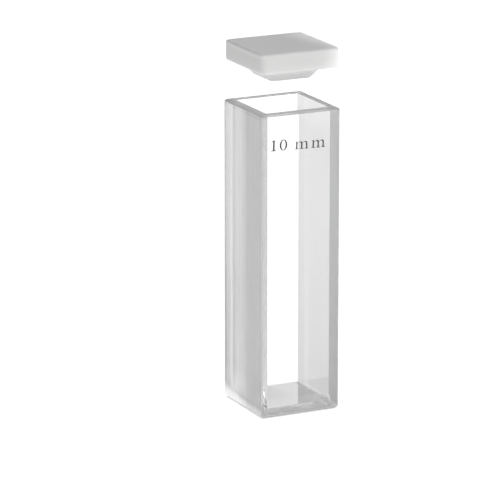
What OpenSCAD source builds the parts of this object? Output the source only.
// Rectangular 10 mm cell for measuring liquids with light: two polished windows, two ground
// side walls and a base plate, fused into one square well, and a loose white cap with a
// short tapered plug, held above the mouth.
// Millimetres. Origin at the centre of the cell's underside, +Z up, the front window on -Y.
// Light passes along Y, from the front window to the back window.

/* [Cell] */
// Outside width across a window, along X
cell_w = 12.5; // [12.2:0.1:13]
// Outside depth along the light's way, along Y
cell_d = 12.5; // [12.2:0.1:13]
// Height of the cell without its cap
cell_h = 45; // [20:0.5:60]
// Thickness of the two polished windows
window_t = 1.25; // [1:0.05:1.25]
// Thickness of the two ground side walls
wall_t = 1.25; // [1:0.05:1.25]
// Thickness of the base plate
base_t = 1.25; // [1:0.05:2]

/* [Edges] */
// Bevel on the four upright outer edges
upright_bevel = 0.2; // [0.1:0.05:0.4]
// Bevel round the outside of the rim
rim_bevel = 0.3; // [0.1:0.05:0.4]
// Bevel round the underside
foot_bevel = 0.45; // [0.2:0.05:0.6]

/* [Cap] */
// Height of the cap's slab
cap_t = 3; // [2:0.1:4]
// Radius of the cap's four upright corners
cap_corner_r = 0.9; // [0.7:0.1:2]
// Rounding along the cap's top and bottom edges
cap_edge_r = 0.4; // [0.2:0.05:0.6]
// Width of the plug where it meets the cap, both ways
plug_w = 8.8; // [8:0.1:9.4]
// How far the plug reaches below the cap
plug_depth = 1.65; // [1.4:0.05:3]
// Height and run of the plug's 45 degree lead-in
plug_lead = 1.1; // [0.4:0.05:1.2]
// Corner radius of the plug
plug_corner_r = 2; // [1.4:0.1:3]
// Clear height of the cap's underside above the rim
cap_lift = 5.8; // [0.1:0.1:10]

/* [Hidden] */
$fn = 64;
eps = 0.01;
well_w = cell_w - 2 * wall_t;
well_d = cell_d - 2 * window_t;
cap_z = cell_h + cap_lift;

// The whole outside of the cell as one block, with its upright, rim and foot bevels.
module outside() {
    intersection() {
        linear_extrude(cell_h) bevelled_oblong(cell_w, cell_d, upright_bevel, upright_bevel);
        translate([0, cell_d / 2 + eps, 0]) rotate([90, 0, 0])
            linear_extrude(cell_d + 2 * eps) upright_profile(cell_w);
        rotate([0, 0, 90]) translate([0, cell_w / 2 + eps, 0]) rotate([90, 0, 0])
            linear_extrude(cell_w + 2 * eps) upright_profile(cell_d);
    }
}

// An oblong about the origin with its corners cut back by bx along X and by along Y.
module bevelled_oblong(w, d, bx, by) {
    polygon([
        [-w / 2 + bx, -d / 2], [w / 2 - bx, -d / 2],
        [w / 2, -d / 2 + by], [w / 2, d / 2 - by],
        [w / 2 - bx, d / 2], [-w / 2 + bx, d / 2],
        [-w / 2, d / 2 - by], [-w / 2, -d / 2 + by]
    ]);
}

// The cell seen from one side, from foot to rim.
module upright_profile(w) {
    polygon([
        [-w / 2 + foot_bevel, 0], [w / 2 - foot_bevel, 0],
        [w / 2, foot_bevel], [w / 2, cell_h - rim_bevel],
        [w / 2 - rim_bevel, cell_h], [-w / 2 + rim_bevel, cell_h],
        [-w / 2, cell_h - rim_bevel], [-w / 2, foot_bevel]
    ]);
}

// A window spans the whole width and height of the cell.
module window(side) {
    intersection() {
        outside();
        translate([-cell_w / 2 - eps, side < 0 ? -cell_d / 2 - eps : cell_d / 2 - window_t, -eps])
            cube([cell_w + 2 * eps, window_t + eps, cell_h + 2 * eps]);
    }
}

// A side wall stands between the two windows, from foot to rim.
module side_wall(side) {
    intersection() {
        outside();
        translate([side < 0 ? -cell_w / 2 - eps : cell_w / 2 - wall_t, -well_d / 2, -eps])
            cube([wall_t + eps, well_d, cell_h + 2 * eps]);
    }
}

// An oblong about the origin with round corners.
module round_oblong(w, d, r) {
    square([w - 2 * r, d], center = true);
    square([w, d - 2 * r], center = true);
    for (x = [-1, 1], y = [-1, 1])
        translate([x * (w / 2 - r), y * (d / 2 - r)]) circle(r);
}

// A slab on z = 0 with round upright corners, and rounding along its top and bottom edges.
module soft_slab(w, d, h, rc, re) {
    // the two straight spans, one each way
    for (a = [0, 90]) {
        across = a == 0 ? w : d;
        along = a == 0 ? d : w;
        rotate([0, 0, a]) translate([0, along / 2 - rc, h / 2]) rotate([90, 0, 0])
            linear_extrude(along - 2 * rc) round_oblong(across, h, re);
    }
    // a turned quarter in each corner
    for (q = [[1, 1, 0], [-1, 1, 90], [-1, -1, 180], [1, -1, 270]])
        translate([q[0] * (w / 2 - rc), q[1] * (d / 2 - rc), h / 2]) rotate([0, 0, q[2]])
            rotate_extrude(angle = 90) intersection() {
                round_oblong(2 * rc, h, re);
                translate([0, -h / 2]) square([rc, h]);
            }
}

// The plug, hanging from z = 0: a short straight collar, then a 45 degree lead-in.
module plug() {
    collar = plug_depth - plug_lead;
    reach = plug_w / 2 - plug_corner_r;
    translate([0, 0, -collar]) linear_extrude(collar) round_oblong(plug_w, plug_w, plug_corner_r);
    // the lead-in: a tapered span each way, and a cone in each corner
    translate([0, 0, -plug_depth]) {
        for (a = [0, 90])
            rotate([0, 0, a]) translate([0, reach, 0]) rotate([90, 0, 0]) linear_extrude(2 * reach)
                polygon([
                    [-plug_w / 2 + plug_lead, 0], [plug_w / 2 - plug_lead, 0],
                    [plug_w / 2, plug_lead], [-plug_w / 2, plug_lead]
                ]);
        for (x = [-1, 1], y = [-1, 1])
            translate([x * reach, y * reach, 0])
                cylinder(h = plug_lead, r1 = plug_corner_r - plug_lead, r2 = plug_corner_r);
    }
}

module front_window() {
    color([0.93, 0.96, 0.97, 0.35]) window(-1);
}

module back_window() {
    color([0.93, 0.96, 0.97, 0.35]) window(1);
}

module left_wall() {
    color([0.84, 0.85, 0.86, 0.6]) side_wall(-1);
}

module right_wall() {
    color([0.84, 0.85, 0.86, 0.6]) side_wall(1);
}

// The base plate fills the well's foot, flush with the walls underneath.
module base_plate() {
    color([0.88, 0.9, 0.91, 0.45])
        translate([-well_w / 2, -well_d / 2, 0]) cube([well_w, well_d, base_t]);
}

module cap() {
    color([0.94, 0.94, 0.93]) translate([0, 0, cap_z]) union() {
        soft_slab(cell_w, cell_d, cap_t, cap_corner_r, cap_edge_r);
        plug();
    }
}

front_window();
back_window();
left_wall();
right_wall();
base_plate();
cap();
